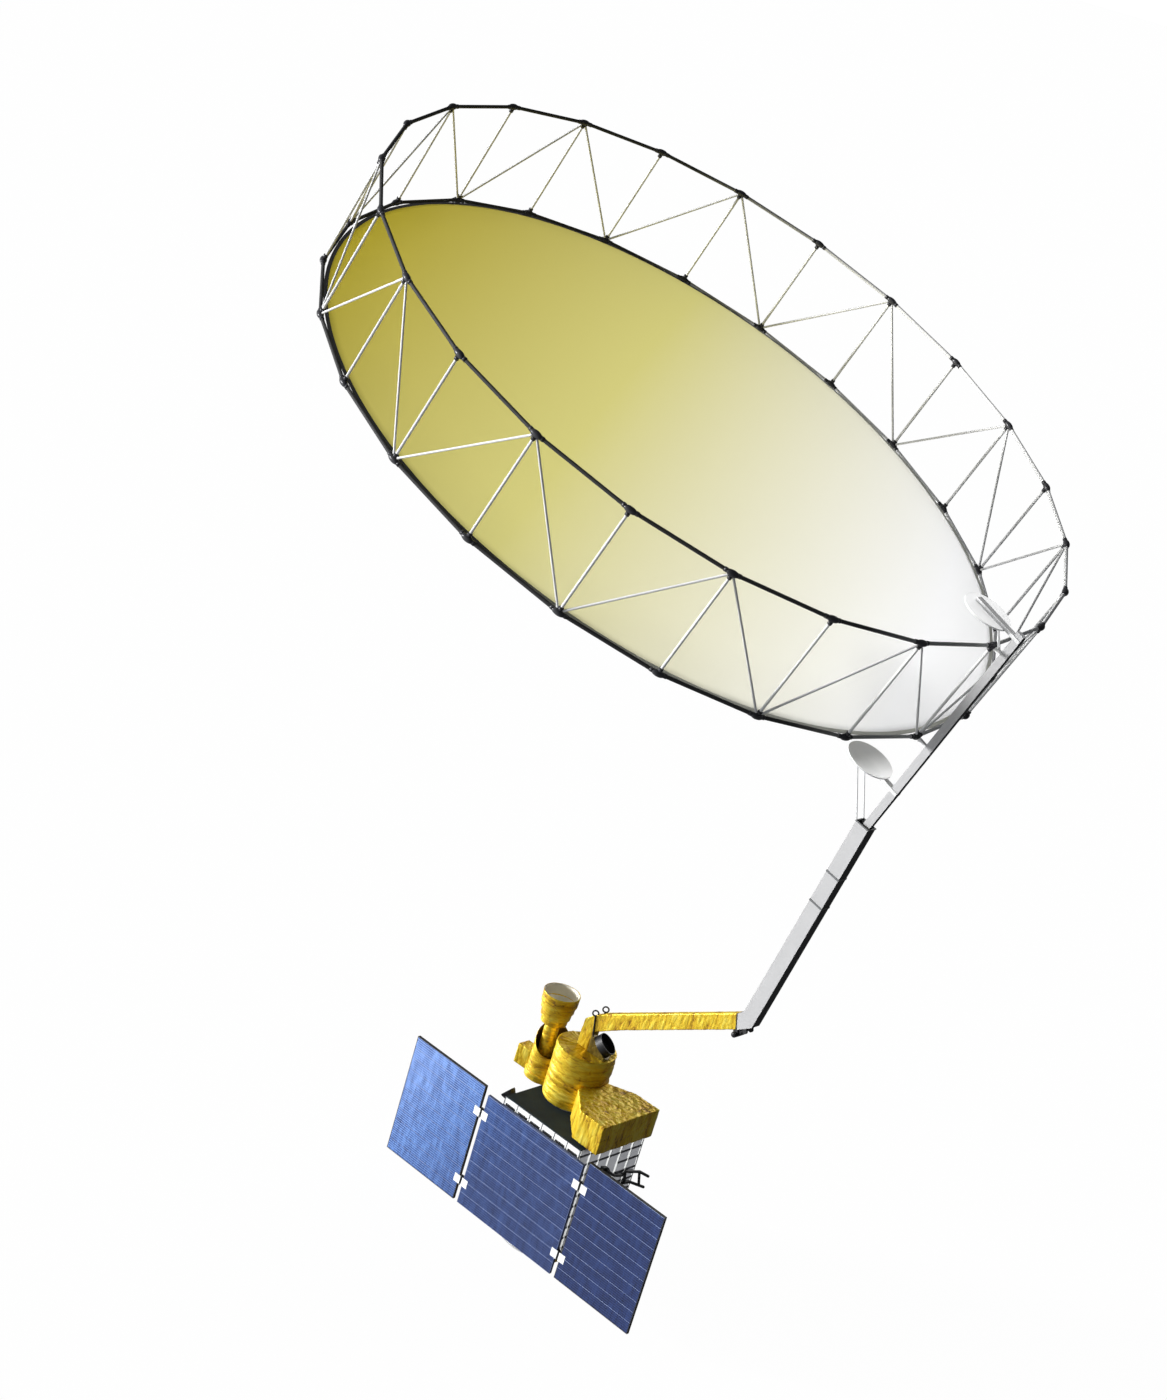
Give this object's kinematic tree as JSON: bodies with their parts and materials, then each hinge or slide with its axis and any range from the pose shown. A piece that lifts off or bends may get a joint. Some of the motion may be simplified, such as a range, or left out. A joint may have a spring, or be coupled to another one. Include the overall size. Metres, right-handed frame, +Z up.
{
  "type": "earth observation satellite with a spinning deployable mesh reflector",
  "caption": "Satellite with a boxy tiled bus, three-panel solar array, foil-wrapped instruments and a large truss-hoop mesh reflector on a folding boom.",
  "frame": {"origin": "centre of the launch ring's bolt circle, at its lower face, on the floor", "axes": "+Z up along the spin axis direction, -Y the way the solar array faces, +X along the array"},
  "size_m": [6.1832, 6.064, 8.4744],
  "materials": {
    "gold_foil": "crinkled metallised film, satin",
    "white_radiator": "matt white thermal paint",
    "grey_tile": "satin",
    "deck_black": "matt",
    "solar_cells": "blue cells under cover glass",
    "bare_aluminium": "machined, satin",
    "boom_composite": "satin light grey",
    "truss_tube": "satin tube",
    "black_fitting": "matt black",
    "reflector_net": "gold-plated knitted mesh",
    "horn_white": "satin light lining",
    "steel_pin": "ground"
  },
  "bodies": {
    "bus": {"launch_adapter": "bare_aluminium", "bottom_skirt": "gold_foil", "bus_shell": "white_radiator", "top_deck": "deck_black", "front_tiles": "white_radiator", "back_tiles": "white_radiator", "right_tiles": "grey_tile", "left_tiles": "grey_tile", "spin_bearing": "bare_aluminium", "array_centre_panel": "solar_cells", "array_standoffs": "bare_aluminium", "left_fixed_leaves": "bare_aluminium", "right_fixed_leaves": "bare_aluminium", "array_hinge_pins": "steel_pin", "flared_sensor": "black_fitting", "ladder_antenna": "black_fitting", "ladder_bracket": "black_fitting"},
    "wing_left": {"array_left_panel": "solar_cells", "left_wing_leaves": "bare_aluminium"},
    "wing_right": {"array_right_panel": "solar_cells", "right_wing_leaves": "bare_aluminium"},
    "spinner": {"instrument_drum": "gold_foil", "electronics_box": "gold_foil", "side_drum": "gold_foil", "side_box": "gold_foil", "feed_tube": "gold_foil", "feed_horn": "gold_foil", "star_camera_block": "gold_foil", "star_camera_baffle": "black_fitting", "loop_antennas": "black_fitting", "boom_arm": "gold_foil", "arm_end_fitting": "black_fitting", "elbow_pin": "black_fitting"},
    "boom": {"lower_boom": "boom_composite", "boom_lug": "black_fitting", "seam_bands": "black_fitting", "boom_end_frame": "boom_composite", "upper_boom": "boom_composite", "lower_stow_plate": "boom_composite", "upper_stow_plate": "boom_composite", "lower_plate_bracket": "boom_composite", "upper_plate_bracket": "boom_composite", "stow_stays": "bare_aluminium", "hoop_brackets": "truss_tube", "hoop_lower_tubes": "truss_tube", "hoop_upper_tubes": "truss_tube", "hoop_battens": "truss_tube", "hoop_diagonals": "truss_tube", "hoop_lower_fittings": "black_fitting", "hoop_upper_fittings": "black_fitting", "mesh_edge": "black_fitting", "reflector_mesh": "reflector_net"}
  },
  "joints": [
    {"name": "instrument_spin", "type": "hinge", "parent": "bus", "child": "spinner", "pos_m": [-0.157, 0.092, 1.2], "axis": [0, 0, 1], "continuous": true},
    {"name": "wing_left_fold", "type": "hinge", "parent": "bus", "child": "wing_left", "pos_m": [-0.5865, -0.433, 0.62], "axis": [0, 0, -1], "range_deg": [0, 90]},
    {"name": "wing_right_fold", "type": "hinge", "parent": "bus", "child": "wing_right", "pos_m": [0.542, -0.433, 0.62], "axis": [0, 0, 1], "range_deg": [0, 90]},
    {"name": "boom_elbow", "type": "hinge", "parent": "spinner", "child": "boom", "pos_m": [1.143, 0.092, 2.58], "axis": [0, 1, 0], "range_deg": [0, 110]}
  ]
}
